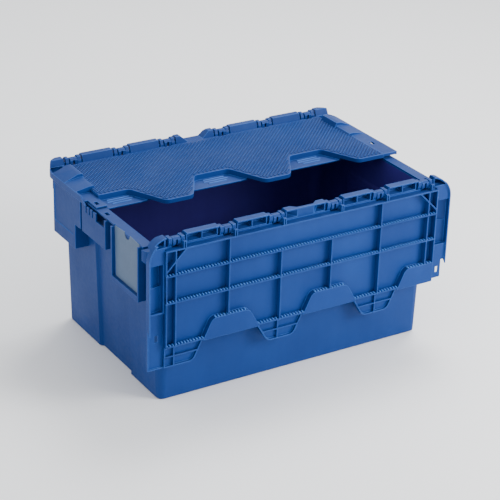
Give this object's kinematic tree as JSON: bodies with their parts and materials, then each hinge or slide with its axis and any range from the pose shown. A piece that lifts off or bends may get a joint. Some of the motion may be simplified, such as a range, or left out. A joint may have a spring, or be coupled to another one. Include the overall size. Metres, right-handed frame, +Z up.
{
  "type": "attached-lid storage crate",
  "caption": "Tapered stacking storage crate with two interlocking lid leaves on moulded hinge pins, hand grips and end label pockets.",
  "frame": {"origin": "centre of the tub's underside", "axes": "+X along the 600 mm length, +Y towards the shut rear leaf, +Z up; the open front leaf is on -Y"},
  "size_m": [0.6, 0.4025, 0.311],
  "materials": {
    "tub_plastic": "satin moulded polypropylene",
    "lid_plastic": "satin moulded polypropylene, grained on top",
    "card": "matt grey-blue label card"
  },
  "bodies": {
    "tub": {"tub_floor": "tub_plastic", "tub_front_wall": "tub_plastic", "tub_rear_wall": "tub_plastic", "tub_left_wall": "tub_plastic", "tub_right_wall": "tub_plastic", "tub_corners": "tub_plastic", "corner_blocks": "tub_plastic", "front_hinge_lugs": "tub_plastic", "rear_hinge_lugs": "tub_plastic", "left_rim": "tub_plastic", "right_rim": "tub_plastic", "left_grip": "tub_plastic", "right_grip": "tub_plastic", "left_nest_stop": "tub_plastic", "right_nest_stop": "tub_plastic", "left_label_pocket": "tub_plastic", "right_label_pocket": "tub_plastic", "label_card": "card"},
    "front_lid": {"front_lid_panel": "lid_plastic", "front_lid_cross_ribs": "lid_plastic", "front_lid_long_ribs": "lid_plastic", "front_lid_ridge": "lid_plastic", "front_lid_left_end": "lid_plastic", "front_lid_right_end": "lid_plastic"},
    "rear_lid": {"rear_lid_panel": "lid_plastic", "rear_lid_cross_ribs": "lid_plastic", "rear_lid_long_ribs": "lid_plastic", "rear_lid_ridge": "lid_plastic", "rear_lid_left_end": "lid_plastic", "rear_lid_right_end": "lid_plastic"}
  },
  "joints": [
    {"name": "front_lid_hinge", "type": "hinge", "parent": "tub", "child": "front_lid", "pos_m": [0, -0.1875, 0.2985], "axis": [-1, 0, 0], "range_deg": [0, 270]},
    {"name": "rear_lid_hinge", "type": "hinge", "parent": "tub", "child": "rear_lid", "pos_m": [0, 0.1875, 0.2985], "axis": [-1, 0, 0], "range_deg": [0, 270]}
  ]
}
